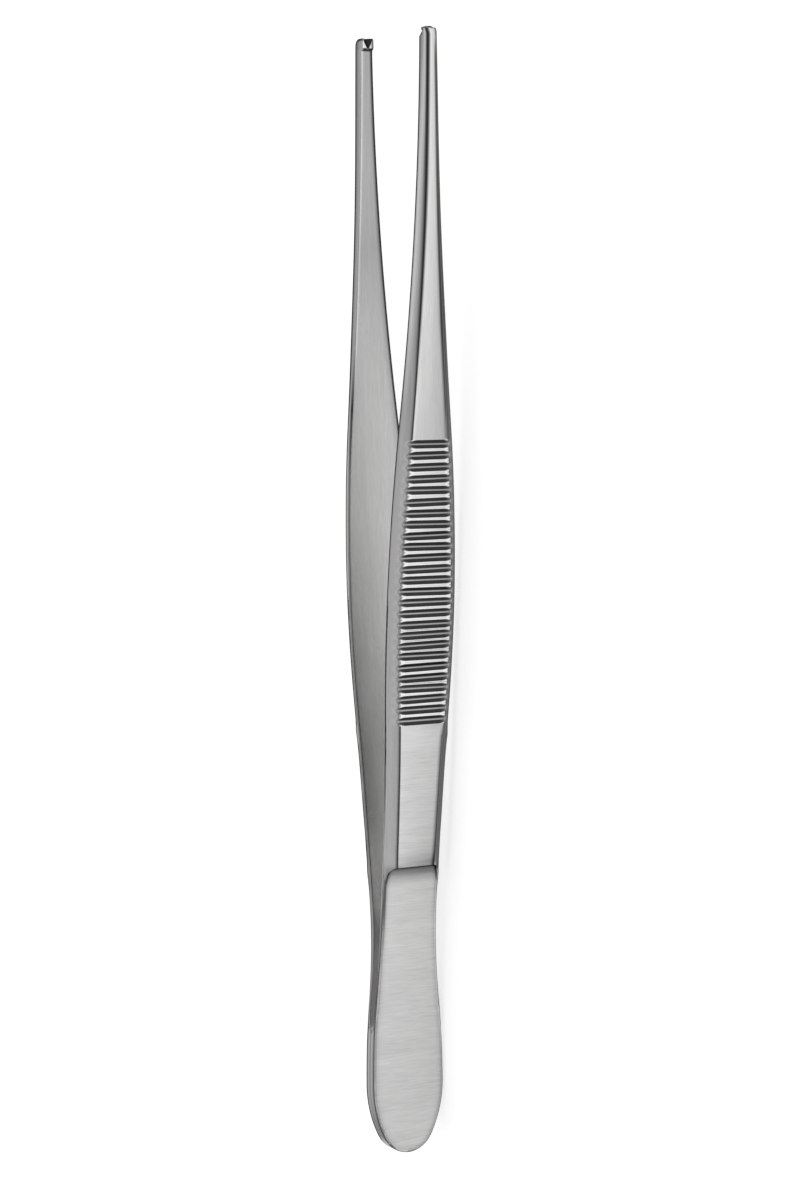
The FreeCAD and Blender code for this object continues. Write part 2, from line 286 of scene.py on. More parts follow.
def innerSide(y, tooth):
    slotY, slotX = arm["slot"]
    if y < arm["weldEnd"]:
        return 0.0
    if y < slotY:
        rise = slotY - arm["weldEnd"]
        radius = (rise ** 2 + slotX ** 2) / (2 * slotX)
        return slotX - radius + math.sqrt(radius ** 2 - (slotY - y) ** 2)
    if y < arm["leafInner"]:
        return slotX
    toothBase = arm["length"] - tooth["length"]
    if y > toothBase:
        t = min((y - toothBase) / (tooth["length"] - tooth["flat"]), 1)
        return bowAt(toothBase) + t * (arm["crest"][1] - tooth["reach"] - bowAt(toothBase))
    rise = arm["crest"][1] - arm["shoulderHalfGap"]
    radius = ((arm["crest"][0] - arm["shoulder"]) ** 2 + rise ** 2) / (2 * rise)
    return sweep(arm["crest"], (arm["leafInner"], slotX), radius, y)


def leafSide(y):
    if y < arm["leafOuter"]:
        return arm["buttThickness"]
    radius = arm["leafOuterRadius"]
    return arm["buttThickness"] + radius - math.sqrt(radius ** 2 - (y - arm["leafOuter"]) ** 2)


# Outer side without its grooves: leaf, coved shoulder, bow and rounded tip
def outerSide(y):
    cove, shoulder, edge = arm["coveRadius"], arm["shoulder"], arm["shoulderRound"]
    if y < shoulder - cove:
        return leafSide(y)
    if y < shoulder:
        leaf = leafSide(shoulder - cove)
        return leaf + cove - math.sqrt(cove ** 2 - (y - shoulder + cove) ** 2)
    outside = bowAt(y, arm["thickness"])
    if y < shoulder + edge:
        return outside - edge + math.sqrt(edge ** 2 - (shoulder + edge - y) ** 2)
    radius = arm["tipRound"]
    start = arm["length"] - radius
    if y > start:
        return bowAt(start, arm["thickness"]) - radius + math.sqrt(max(radius ** 2 - (y - start) ** 2, 0))
    return outside


def planGrooves():
    chance = random.Random(grooves["seed"])
    count, plan, y = grooves["count"], [], 0.0
    for index in range(count):
        place = index / (count - 1) * 2 - 1
        plan.append(
            {
                "y": y,
                "tilt": math.tan(math.radians(chance.uniform(-1, 1) * grooves["unevenTilt"])),
                "depth": grooves["depth"] + chance.uniform(-1, 1) * grooves["unevenDepth"],
            }
        )
        uneven = chance.uniform(-1, 1) * grooves["unevenPitch"]
        y += grooves["pitch"] * (1 + place * grooves["drift"] + uneven)
    stretch = (count - 1) * grooves["pitch"] / plan[-1]["y"]
    for groove in plan:
        groove["y"] = grooves["first"] + groove["y"] * stretch
    return plan


groovePlan = planGrooves()


# Depth at a place along the arm, between sloping walls with a narrow floor, and the place across
# the nearest groove in half widths
def grooveAt(y):
    nearest = min(groovePlan, key=lambda groove: abs(groove["y"] - y))
    across = (y - nearest["y"]) / grooves["halfWidth"]
    return nearest["depth"] * min(max(1 - abs(across), 0.0) / (1 - grooves["floorShare"]), 1.0), across


# Tilt of the rows across the outer face: each groove's own, turning into the next on the ridge
# between them
def tiltAt(y):
    if y <= groovePlan[0]["y"] or y >= groovePlan[-1]["y"]:
        return 0.0
    for low, high in zip(groovePlan, groovePlan[1:]):
        if y <= high["y"]:
            share = smoothStep(*grooves["tiltTurn"], (y - low["y"]) / (high["y"] - low["y"]))
            return low["tilt"] * (1 - share) + high["tilt"] * share
    return 0.0


# Whether a place lies among the grooves
def isGrooved(y):
    half = grooves["halfWidth"]
    return groovePlan[0]["y"] - half < y < groovePlan[-1]["y"] + half


# Places along the outer side, closest where the profile turns
def outerStations():
    places = []

    def steps(start, end, count):
        places.extend(start + (end - start) * i / count for i in range(count))

    cove, shoulder, edge = arm["coveRadius"], arm["shoulder"], arm["shoulderRound"]
    slotStart = arm["weldEnd"] - skin["besideSlot"]
    slotEnd = arm["slot"][0] + skin["besideSlot"]
    coveStart, coveFoot = shoulder - cove, shoulder - cove - skin["besideShoulder"]
    steps(arm["butt"][0], slotStart, skin["butt"])
    steps(slotStart, slotEnd, skin["slot"])
    steps(slotEnd, coveFoot, skin["leaf"])
    steps(coveFoot, coveStart, skin["coveFoot"])
    places.extend(shoulder - cove * (1 - math.sin(math.radians(angle))) for angle in skin["cove"])
    places.extend(shoulder + edge * (1 - math.cos(math.radians(angle))) for angle in skin["shoulderEdge"])
    half, beside = grooves["halfWidth"], skin["besideGrooves"]
    neckStart = shoulder + edge + skin["besideShoulder"]
    steps(neckStart, groovePlan[0]["y"] - half - beside, skin["neck"])
    for groove in groovePlan:
        places.extend(groove["y"] + place * half for place, tone in grooves["tones"])
    start = arm["length"] - arm["tipRound"]
    steps(groovePlan[-1]["y"] + half + beside, start - skin["beforeTip"][0], skin["shank"])
    places.extend(start - drop for drop in skin["beforeTip"])
    places.extend(start + arm["tipRound"] * math.sin(math.radians(angle)) for angle in skin["tip"])
    return places


# Rows of the arm's skin: where the row leaves the edge, which way is inwards there,
# where it meets the middle, and where it lies along the outer side
def armRows(kind):
    nose, (buttY, buttW), radius = arm["noseRadius"], arm["butt"], buttRoundRadius()
    centreZ = buttW - radius
    turn = math.atan2(nose - buttY, -centreZ)  # where the nose meets the round of the butt
    start = -math.pi / 2

    def onArc(y, z, size, angle):
        along, across = math.sin(angle), math.cos(angle)
        return (y + size * along, z + size * across), (-along, -across)

    steps = skin["nose"]
    outline = [onArc(nose, 0.0, nose, start + (turn - start) * i / steps) for i in range(steps + 1)]
    steps = skin["buttRound"]
    outline += [onArc(buttY, centreZ, radius, turn * (1 - i / steps)) for i in range(1, steps + 1)]
    rows = []
    for i, (rim, inward) in enumerate(outline):
        middle = nose + (buttY - nose) * i / (len(outline) - 1)
        rows.append({"rim": rim, "inward": inward, "middle": middle, "outer": None})
    stations = outerStations()[1:]
    for i, y in enumerate(stations):
        evened = y < stations[-1] - skin["unevenEnd"]
        span = min(skin["evenOver"], i, len(stations) - 1 - i) if evened else 0
        around = stations[i - span : i + span + 1]
        even = sum(around) / len(around)
        rim = (even, halfWidth(even, teeth[kind]["corner"]))
        rows.append({"rim": rim, "inward": (0.0, -1.0), "middle": even, "outer": y})
    return rows


# Arc in place of a corner, as steps + 1 points
def roundCorner(before, corner, after, radius, steps):
    a, b = before - corner, after - corner
    turn, share = math.pi - a.angle(b), skin["roundShare"]
    tangent = min(radius * math.tan(turn / 2), a.length * share, b.length * share)
    a, b = a.normalized(), b.normalized()
    start, end = corner + a * tangent, corner + b * tangent
    if turn < skin["leastTurn"]:
        return [start.lerp(end, i / steps) for i in range(steps + 1)]
    centre = corner + (a + b).normalized() * (tangent / math.sin(turn / 2))
    first, last = start - centre, end - centre
    points = []
    for i in range(steps + 1):
        angle = turn * i / steps
        spoke = (first * math.sin(turn - angle) + last * math.sin(angle)) / math.sin(turn)
        points.append(centre + spoke)
    return points


# Height of the side band's top at the edge of a row, and how steeply it goes on from there:
# the chamfer of the butt and leaf turns into the bevel of the arm
def sideBand(y, width):
    start, end = arm["chamferToBevel"]
    slope = (arm["thickness"] - alongArm(arm["land"], y)) / alongArm(arm["bevelRun"], y)
    run = width - alongArm(arm["faceHalfWidth"], y)
    bevelTop = bowAt(max(y, start), arm["thickness"]) - run * slope
    along, drop = arm["tipSideRound"]
    past = min(max((y - arm["length"] + along) / along, 0.0), 1.0)
    bevelTop -= drop * (1 - math.sqrt(1 - past ** 2))
    chamferTop = leafSide(min(y, end)) - arm["buttChamfer"]
    blend = smoothStep(start, end, y)
    return chamferTop * (1 - blend) + bevelTop * blend, 1 - blend + slope * blend


# Painted shade and highlights round each arm, matched to how the brushed steel takes the light: painted
# reflections, dark edges and bright lines. A tone above 0 is painted darker and below 0 brighter, and
# below -1 it also glows as painted light, where the narrow gap leaves no light. Upper and lower are the
# sides of the forceps as it lies. Rows start with the distance along the arm.
paintedSheen = {
    # beside a rounding, where its tones lie and end: a distance, and the largest share of the side
    "beside": ((0.11, 0.16), (0.32, 0.42)),
    # five painted tones of shade or highlight at each edge, going from the inner face to the outer one:
    # before the rounding, beside it, on it, beside it and after it
    "edges": {
        "single": {
            "upper": {
                "inner": (
                    (15.0, (-1, -0.5, 0.35, 0.1, 0)),
                    (30.0, (-1, 0, -0.6, -0.9, -0.1)),
                    (34.0, (0, 0.3, -1, -1, -0.2)),
                    (38.0, (0, 0.3, -1, -1, -0.7)),
                    (42.0, (0, 0.3, -0.4, -0.9, -0.3)),
                    (46.0, (0, 0.3, 0.9, 0.2, -0.1)),
                    (52.0, (0, 0.3, 1, 1, 0.45)),
                    (60.0, (0, 0.3, 1, 1, 0.4)),
                    (68.0, (0, 0.3, 1, 0.9, 0.1)),
                    (96.0, (0, 0.3, 1, 1, 0.4)),
                    (108.0, (0, 0.3, 1, 1, 0.1)),
                    (145.0, (0, 0.3, 1, 1, 0.45)),
                ),
                "land": (
                    (0.0, (0.2, 0.5, 0.8, 0.5, 0.3)),
                    (8.0, (0.2, 0.5, 0.8, -0.2, -0.3)),
                    (26.0, (0.1, 0.5, 0.8, -0.3, -0.3)),
                    (32.0, (0.1, 0.3, 0.8, 0.8, 0.8)),
                    (37.0, (0.1, 0.2, 0.4, 0.7, 0.9)),
                    (37.6, (0.1, 0.1, 0, 0.1, 0)),
                    (96.0, (0.2, 0.2, 0.15, 0.15, 0.2)),
                    (108.0, (-0.7, -0.7, -0.5, -0.2, 0.1)),
                    (128.0, (-0.9, -0.7, -0.5, -0.2, 0.2)),
                    (145.0, (0.3, 0.2, -0.5, -0.6, 0)),
                ),
                "face": (
                    (26.0, (-0.3, 0, 0.2, 0.15, 0.05)),
                    (32.0, (0.8, 0.8, 0.7, 0.3, 0.05)),
                    (37.0, (0.9, 0.9, 0.8, 0.4, 0.2)),
                    (37.6, (0.1, 0.5, 0.95, 0, 0)),
                    (96.0, (0.3, 0.6, 0.95, -0.3, -0.2)),
                    (108.0, (0.4, 0.8, 1, 0.5, 0)),
                    (145.0, (0.5, 0.9, 1, 0.9, 0.4)),
                ),
            },
            "lower": {
                "inner": ((33.0, (-0.6, 0, 0.9, 0.3, 0)),),
                "land": ((37.0, (0.1, 0.5, 1, 0.95, 0.8)), (38.0, (0.1, 0.5, 0.9, 0.75, 0.65))),
                "face": (
                    (12.0, (0.85, 0.8, 0.4, 0.2, 0.1)),
                    (17.0, (0.5, 0.4, 0.1, 0.1, 0.1)),
                    (37.0, (0.5, 0.4, 0.1, 0.1, 0.1)),
                    (38.0, (0.6, 0.7, 0.75, 0.2, 0.1)),
                    (141.0, (0.8, 0.8, 0.85, 0.6, 0.4)),
                    (143.5, (-0.6, -0.2, 0.8, 0.2, -0.3)),
                    (145.0, (-0.6, -0.2, 0.9, 0.3, -0.3)),
                ),
            },
        },
        "paired": {
            "upper": {
                "inner": (
                    (15.0, (-1, -0.5, 0.35, 0.1, 0)),
                    (30.0, (-1, 0, 0.3, 0, 0)),
                    (40.0, (0, 0.2, 0.6, 0.1, -0.2)),
                    (85.0, (0, 0.1, 0.5, 0, -0.2)),
                    (96.0, (0, 0.2, 1, 0.4, 0)),
                    (104.0, (0, -0.4, 0.2, 0.3, 0.2)),
                    (143.0, (0, -0.5, 0.1, 0.3, 0.2)),
                ),
                "land": (
                    (0.0, (0.2, 0.9, 1, 0.3, 0.1)),
                    (37.0, (-0.1, 0.7, 1, 0.3, 0.1)),
                    (85.0, (-0.2, 0.8, 1, 0.3, 0)),
                    (100.0, (0.6, 1, 1, 0.3, 0)),
                    (145.0, (0.6, 1, 1, 0.3, 0)),
                ),
                "face": ((37.0, (-0.3, 0, 0.4, 0.3, 0.1)), (38.0, (0.2, 0.6, 1, -0.3, -0.2))),
            },
            "lower": {
                "inner": ((33.0, (-0.6, 0.2, 0.8, 0.3, 0)), (90.0, (0.2, 0.8, 1, 0.3, 0))),
                "land": ((37.0, (0, 0.4, 0.8, 0.4, 0.35)), (38.0, (0.1, 0.3, 0.6, 0.4, 0.4))),
                "face": ((37.0, (0.3, 0.3, 0.15, 0.1, 0.1)), (38.0, (0.4, 0.5, 0.7, 0.2, 0.1))),
            },
        },
    },
    # painted tones at the inner face's upper and lower edge, below -1 with a painted glow in the narrow
    # gap
    "inner": {
        "single": ((24.0, (-2.0, -2.0)), (32.0, (-1.0, -1.0)), (145.0, (-0.3, -0.3))),
        "paired": (
            (24.0, (-2.0, -2.0)),
            (29.5, (-1.2, -1.0)),
            (34.5, (-0.3, -0.3)),
            (38.0, (0.0, 0.05)),
            (44.0, (0.3, 0.25)),
            (52.0, (0.46, 0.34)),
            (60.0, (0.42, 0.2)),
            (68.0, (0.36, 0.0)),
            (82.0, (0.2, 0.08)),
            (96.0, (0.22, 0.18)),
            (107.0, (0.25, 0.3)),
            (117.0, (0.4, 0.42)),
            (128.0, (0.32, 0.4)),
            (145.0, (0.4, 0.42)),
        ),
    },
    # painted tone in the middle of the outer face, how far the painted shade of its upper and its lower
    # edge reaches in, and how much brighter and darker the face is painted at those edges
    "outer": (
        (0.0, (0.18, 0.05, 0.2, 0.0)),
        (30.0, (0.12, 0.05, 0.2, 0.03)),
        (35.2, (0.14, 0.05, 0.3, 0.03)),
        (35.8, (0.35, 0.2, 0.3, 0.03)),
        (36.3, (0.65, 0.2, 0.3, 0.05)),
        (36.8, (0.8, 0.2, 0.3, 0.05)),
        (37.2, (0.9, 0.2, 0.3, 0.0)),
        (37.4, (0.5, 0.1, 0.8, 0.15)),
        (37.9, (0.42, 0.1, 0.8, 0.2)),
        (38.9, (0.22, 0.1, 0.8, 0.15)),
        (41.0, (0.14, 0.1, 0.8, 0.1)),
        (54.0, (0.06, 0.1, 0.6, 0.08)),
        (94.0, (0.15, 0.1, 0.15, 0.15)),
        (107.0, (0.05, 0.35, 0.9, 0.22)),
        (117.0, (-0.02, 0.4, 0.8, 0.2)),
        (127.0, (-0.15, 0.55, 0.75, 0.18)),
        (145.0, (-0.25, 0.5, 0.65, 0.15)),
    ),
    # that painted shade at the very edge, the power by which it thins out, and the share of the painted
    # brighter and darker edges that is left inside a groove
    "edgeShade": 0.8,
    "edgeShadePower": 1.3,
    "grooveFall": 0.25,
    # painted bands added on the inner face near the tip: painted shade on the underside and a painted
    # highlight on the front of the two teeth
    "tip": {
        "single": ((143.0, (0.0,)),),
        "paired": (
            (143.3, (0.0,)),
            (143.35, (0.95,)),
            (143.65, (0.95,)),
            (143.75, (-0.7,)),
            (145.0, (-0.7,)),
        ),
    },
    # painted dark outline at the very end of the tip
    "rim": (0.9, (-0.5, -0.2)),  # tone of the very end, and where it sets in before the end
}


# Painted tones of shade and highlight at an edge on the upper and the lower side of the forceps, as five
# pairs
def edgeTones(kind, edge, y, across):
    if edge == "face" and isGrooved(y):
        tones = between(grooves["endTones"], abs(across))
        return [(tone, tone + (grooves["lowerEnd"] if i < 2 else 0.0)) for i, tone in enumerate(tones)]
    sides = [between(paintedSheen["edges"][kind][side][edge], y) for side in ("upper", "lower")]
    return list(zip(*sides))


# Painted tones of shade and highlight of a place on the outer face, by its distance from the edge and
# from the middle of the face
def outerTones(y, across, fromEdge, fromMiddle):
    tone, upper, lower, fall = between(paintedSheen["outer"], y)
    if isGrooved(y) and abs(across) < grooves["reach"]:
        tone += between([(place, (level,)) for place, level in grooves["tones"]], across)[0]
        fall *= 1.0 if abs(across) > 1 else paintedSheen["grooveFall"]
    power, depth = paintedSheen["edgeShadePower"], paintedSheen["edgeShade"]
    shade = [max(1 - fromEdge / reach, 0.0) ** power * depth for reach in (upper, lower)]
    return tone + shade[0] - fall * fromMiddle, tone + shade[1] + fall * fromMiddle


# Shift towards the butt that sweeps the shoulder's corners back on the bevels
def sweepBack(y, z):
    shape, shoulder = arm["shoulderSweep"], arm["shoulder"]
    radius, above, below = shape["radius"], shape["above"], shape["below"]
    if not shoulder - below[1] - arm["coveRadius"] < y < shoulder + above[1]:
        return 0.0
    past = min(max(z - alongArm(arm["faceHalfWidth"], shoulder) + shape["inside"], 0.0), radius)
    fade = 1 - smoothStep(*above, y - shoulder)
    fade *= 1 - smoothStep(*below, shoulder - y)
    return (radius - math.sqrt(radius ** 2 - past ** 2)) * fade


# Half of a row, from the middle of the inner face round the side to the middle of the outer face.
# Each point has its place, its share of the shift to the outer side, and its painted tones of shade
# and highlight on the upper and the lower side of the forceps.
def halfRow(row, kind):
    (rimY, rimZ), (inY, inZ) = row["rim"], row["inward"]
    outerY = rimY if row["outer"] is None else row["outer"]
    inner = innerSide(rimY, teeth[kind])
    outer, slope, across = arm["buttThickness"], 1.0, 2.0
    sideTop = outer - arm["buttChamfer"]
    if row["outer"] is not None:
        depth, across = grooveAt(outerY)
        outer = outerSide(outerY) - depth
        sideTop, slope = sideBand(outerY, rimZ)
    sideTop = min(sideTop, outer - skin["leastSide"])
    edgeIn = max((outer - sideTop) / slope, skin["leastSide"])
    a, b, c = Vector((0, inner)), Vector((0, sideTop)), Vector((edgeIn, outer))
    flat = Vector((1.5, 0))  # along either face, away from its edge
    radius = arm["edgeRadius"]
    innerEdge = "inner" if inner > 0.1 else "seam"  # sharper where the arms meet
    outerEdge = "face" if outerY > arm["shoulder"] else "butt"
    # each corner between its neighbours, with its edge and the shares of the shift before and after it
    corners = [
        (a + flat, a, b, radius[innerEdge], "inner", (0.0, 0.0)),
        (a, b, c, radius["land"], "land", (0.0, 0.35)),
        (b, c, c + flat, radius[outerEdge], "face", (1.0, 1.0)),
    ]
    # beside a long side the tones lie at their own distance, beside a short one at a share of it
    (near, nearShare), (end, endShare) = paintedSheen["beside"]
    half = []
    for before, corner, after, size, edge, weights in corners:
        arc = roundCorner(before, corner, after, size, skin["edgeRound"])
        back, ahead = before - arc[0], after - arc[-1]
        tones = edgeTones(kind, edge, outerY, across)
        half.append((arc[0] + back * min(end / back.length, endShare), weights[0], tones[0]))
        half.append((arc[0] + back * min(near / back.length, nearShare), weights[0], tones[1]))
        for i, point in enumerate(arc):
            half.append((point, weights[0] + (weights[1] - weights[0]) * i / (len(arc) - 1), tones[2]))
        half.append((arc[-1] + ahead * min(near / ahead.length, nearShare), weights[1], tones[3]))
        half.append((arc[-1] + ahead * min(end / ahead.length, endShare), weights[1], tones[4]))
    band = between(paintedSheen["tip"][kind], rimY)[0]
    inside = [level + band for level in between(paintedSheen["inner"][kind], outerY)]
    middleTone = sum(inside) / 2
    points = []
    first, last = half[0][0], half[-1][0]
    innerEnd = Vector((rimY + inY * first.x, rimZ + inZ * first.x))
    for i in range(skin["innerHalf"]):
        t = i / skin["innerHalf"]
        tones = [middleTone + (level - middleTone) * t for level in inside]
        y = row["middle"] + (innerEnd.x - row["middle"]) * t
        points.append((first.y, y, innerEnd.y * t, 0.0, tones))
    for index, (point, weight, tones) in enumerate(half):
        y = rimY + inY * point.x + (outerY - rimY) * weight
        z = max(rimZ + inZ * point.x, 0.0)
        if index < 2:
            tones = [tone + level for tone, level in zip(tones, inside)]
        if index > len(half) - 3:
            face = outerTones(outerY, across, max(point.x - c.x, 0.0), 1.0)
            plain = abs(across) > grooves["reach"]
            tones = [tone + extra for tone, extra in zip(tones, face)] if plain else tones
        points.append((point.y, y, z, weight, tones))
    outerEnd = Vector((outerY + inY * last.x, rimZ + inZ * last.x))
    middleY = row["middle"] if row["outer"] is None else outerY
    for i in range(1, skin["outerHalf"] + 1):
        t = i / skin["outerHalf"]
        tones = outerTones(outerY, across, outerEnd.y * t + last.x - c.x, 1 - t)
        points.append((outer, outerEnd.x + (middleY - outerEnd.x) * t, outerEnd.y * (1 - t), 1.0, tones))
    return points


# Skin of an arm: a grid wrapped round the arm from its inner middle line and back,
# with its first row folded shut at the end of the butt
def makeArm(name, kind, cutTeeth, turn):
    rows = [halfRow(row, kind) for row in armRows(kind)]
    half = len(rows[0])
    columns = 2 * half - 1
    mesh = bmesh.new()
    bmesh.ops.create_grid(mesh, x_segments=columns - 1, y_segments=len(rows) - 1, size=1)
    # painted shade and highlights of each point, kept on the mesh
    toneLayer = mesh.verts.layers.float.new("paintedSheen")
    endTone, (rimStart, rimEnd) = paintedSheen["rim"]
    mesh.verts.ensure_lookup_table()
    for index, vert in enumerate(mesh.verts):
        r, c = divmod(index, columns)
        x, y, z, weight, tones = rows[r][c if c < half else columns - 1 - c]
        # the first half of the grid is the upper side, but not on the arm that is turned over
        tone = tones[0 if (c < half) == (turn == 0) else 1]
        # painted dark outline at the very end of the tip
        tone += (endTone - tone) * smoothStep(rimStart, rimEnd, y - arm["length"])
        y -= sweepBack(y, z) * min(weight * 3, 1.0)  # whole from the top of the side band outwards
        z *= 1 if c < half else -1
        vert.co = (x, y + tiltAt(y) * z * weight, z)
        vert[toneLayer] = min(max(tone, -2.0), 1.0)
    bmesh.ops.remove_doubles(mesh, verts=mesh.verts, dist=1e-5)
    bmesh.ops.holes_fill(mesh, edges=[e for e in mesh.edges if e.is_boundary], sides=0)
    bmesh.ops.recalc_face_normals(mesh, faces=mesh.faces)
    for face in mesh.faces:
        face.smooth = True
        face.material_index = finishOf(face)
    obj = bpy.data.objects.new(name, bpy.data.meshes.new(name))
    mesh.to_mesh(obj.data)
    mesh.free()
    bpy.context.scene.collection.objects.link(obj)
    for material in steels[kind]:
        obj.data.materials.append(material)
    cutTeeth(obj)
    place = Matrix.Translation((0, -arm["length"] / 2, arm["butt"][1])) @ Matrix.Rotation(turn, 4, "Y")
    obj.data.transform(Matrix.Scale(0.001, 4) @ place)
    print(name, len(obj.data.polygons), "faces")
    return obj


# Number of the steel of a face: brushed across on the outer side from the butt to the last groove,
# and along the arm everywhere else
def finishOf(face):
    centre, turnedOut = face.calc_center_median(), face.normal.x > 0.1
    deepest = grooves["depth"] + 0.2  # what lies deeper belongs to the bevels
    if turnedOut and centre.y < groovePlan[-1]["y"] + grooves["halfWidth"]:
        return 1 if centre.x > outerSide(centre.y) - deepest else 0
    return 0


# Takes a prism away from an arm; its outline lies square to the slanted cut, from the tooth's tip
def cutPrism(obj, outline, tooth):
    mesh = bmesh.new()
    face = mesh.faces.new([mesh.verts.new((0, depth, across)) for depth, across in outline])
    slant = math.radians(tooth["slant"])
    tip = Vector((arm["crest"][1] - tooth["reach"], arm["length"], 0))
    into = Vector((math.cos(math.pi / 2 - slant), -math.sin(math.pi / 2 - slant), 0))
    along = Vector((into.y, -into.x, 0))
    for vert in mesh.verts:
        depth, across = vert.co.y, vert.co.z
        vert.co = tip + into * depth + Vector((0, 0, across)) - along * teeth["through"]
    made = bmesh.ops.extrude_face_region(mesh, geom=[face])["geom"]
    moved = [item for item in made if isinstance(item, bmesh.types.BMVert)]
    bmesh.ops.translate(mesh, verts=moved, vec=along * 2 * teeth["through"])
    bmesh.ops.recalc_face_normals(mesh, faces=mesh.faces)
    for face in mesh.faces:
        face.material_index = 2  # the steel of the cut
    cutter = bpy.data.objects.new("cutter", bpy.data.meshes.new("cutter"))
    mesh.to_mesh(cutter.data)
    mesh.free()
    for material in obj.data.materials:
        cutter.data.materials.append(material)
    bpy.context.scene.collection.objects.link(cutter)
    cut = obj.modifiers.new("cut", "BOOLEAN")
    cut.operation, cut.solver, cut.object = "DIFFERENCE", "MANIFOLD", cutter
    bpy.context.view_layer.objects.active = obj
    bpy.ops.object.modifier_apply(modifier=cut.name)
    bpy.data.objects.remove(cutter)


# Two shoulders that leave one tooth in the middle of the tip
def cutSingleTooth(obj):
    tooth, past = teeth["single"], teeth["past"]
    depth, foot, side = tooth["height"], tooth["halfWidth"], tooth["side"]
    right = [(depth, side), (depth, foot)]
    left = [(depth, -foot), (depth, -side)]
    cutPrism(obj, [(0, 0)] + left + [(-past, -side), (-past, side)] + right, tooth)


# Notch that leaves a tooth at each corner of the tip
def cutPairedTeeth(obj):
    tooth, past = teeth["paired"], teeth["past"]
    depth = tooth["notchDepth"]
    side = tooth["notchHalfWidth"] * (1 + past / depth)
    cutPrism(obj, [(depth, 0), (-past, side), (-past, -side)], tooth)


steelLook = {
    "color": (0.62, 0.62, 0.615),
    "roughness": 0.3,
    # where the painted sheen is darkest and brightest: the share of the colour left by the painted shade
    # and highlight, and its roughness
    "paintedEdgeShade": 0.06,
    "paintedEdgeHighlight": 1.45,
    "edgeRoughness": 0.2,
    # painted glow in the narrow gap: it emits, though it is no lamp, in place of the light reflected
    # there
    "paintedGapGlow": 0.026,  # what the narrow gap gives back from all that is reflected to and fro in it
    # brush marks: scale along x, y and z, share of the colour that they change, height in metres
    "along": ((9000, 130, 9000), 0.1, 2.5e-6),
    "across": ((1500, 5600, 380), 0.12, 2.5e-6),
    "wave": 0.6,
    "wide": (0.16, 0.5),  # scale and strength of the wider streaks beside the fine ones
    "marksSpread": (0.45, 1.05),
    # painted shade in the cuts: the colour of the single tooth's flanks and of the notch is darkened to
    # these shares
    "tooth": 0.5,  # shares of the colour left on the flanks of the single tooth and in the notch
    "notch": 0.06,
}


# Node with its settings
def addNode(tree, kind, **values):
    node = tree.nodes.new(kind)
    for name, value in values.items():
        setattr(node, name, value)
    return node


# Greys of a colour ramp, as pairs of a place and a level
def setStops(ramp, levels):
    stops = ramp.color_ramp.elements
    for index, (place, level) in enumerate(levels):
        stop = stops[index] if index < 2 else stops.new(place)
        stop.position, stop.color = place, (level, level, level, 1)


# Links, each from an output of one node to an input of another
def connect(tree, links):
    for (fromNode, output), (toNode, target) in links:
        tree.links.new(fromNode.outputs[output], toNode.inputs[target])


# Streaks left by the brush: fine noise drawn out along the brush's way, over wider and fainter streaks
def makeBrushMarks():
    group = bpy.data.node_groups.new("brushMarks", "ShaderNodeTree")
    group.interface.new_socket("Scale", in_out="INPUT", socket_type="NodeSocketVector")
    group.interface.new_socket("Share", in_out="INPUT", socket_type="NodeSocketFloat")
    group.interface.new_socket("Tone", in_out="OUTPUT", socket_type="NodeSocketFloat")
    group.interface.new_socket("Height", in_out="OUTPUT", socket_type="NodeSocketFloat")
    given, made = addNode(group, "NodeGroupInput"), addNode(group, "NodeGroupOutput")
    place = addNode(group, "ShaderNodeTexCoord")
    stretch = addNode(group, "ShaderNodeVectorMath", operation="MULTIPLY")
    fine = addNode(group, "ShaderNodeTexNoise", noise_dimensions="3D")
    fine.inputs["Scale"].default_value, fine.inputs["Detail"].default_value = 1.0, 3.0
    fine.inputs["Distortion"].default_value = steelLook["wave"]
    wideScale, wideShare = steelLook["wide"]
    wide = addNode(group, "ShaderNodeTexNoise", noise_dimensions="3D")
    wide.inputs["Scale"].default_value, wide.inputs["Detail"].default_value = wideScale, 2.0
    mix = addNode(group, "ShaderNodeMath", operation="MULTIPLY_ADD")
    mix.inputs[1].default_value = wideShare
    spread = addNode(group, "ShaderNodeMapRange")
    for end, level in zip(("Min", "Max"), steelLook["marksSpread"]):
        spread.inputs["From " + end].default_value = level
    low = addNode(group, "ShaderNodeMath", operation="SUBTRACT")
    low.inputs[0].default_value = 1.0
    high = addNode(group, "ShaderNodeMath", operation="ADD")
    high.inputs[0].default_value = 1.0
    connect(
        group,
        [
            ((place, "Object"), (stretch, 0)),
            ((given, "Scale"), (stretch, 1)),
            ((stretch, "Vector"), (fine, "Vector")),
            ((stretch, "Vector"), (wide, "Vector")),
            ((wide, "Fac"), (mix, 0)),
            ((fine, "Fac"), (mix, 2)),
            ((mix, "Value"), (spread, "Value")),
            ((given, "Share"), (low, 1)),
            ((given, "Share"), (high, 1)),
            ((low, "Value"), (spread, "To Min")),
            ((high, "Value"), (spread, "To Max")),
            ((spread, "Result"), (made, "Tone")),
            ((fine, "Fac"), (made, "Height")),
        ],
    )
    return group


# Range that turns one value into another, with a pair of both at its start and at its end
def addRange(tree, start, end):
    node = addNode(tree, "ShaderNodeMapRange")
    for value, (place, level) in (("Min", start), ("Max", end)):
        node.inputs["From " + value].default_value = place
        node.inputs["To " + value].default_value = level
    return node
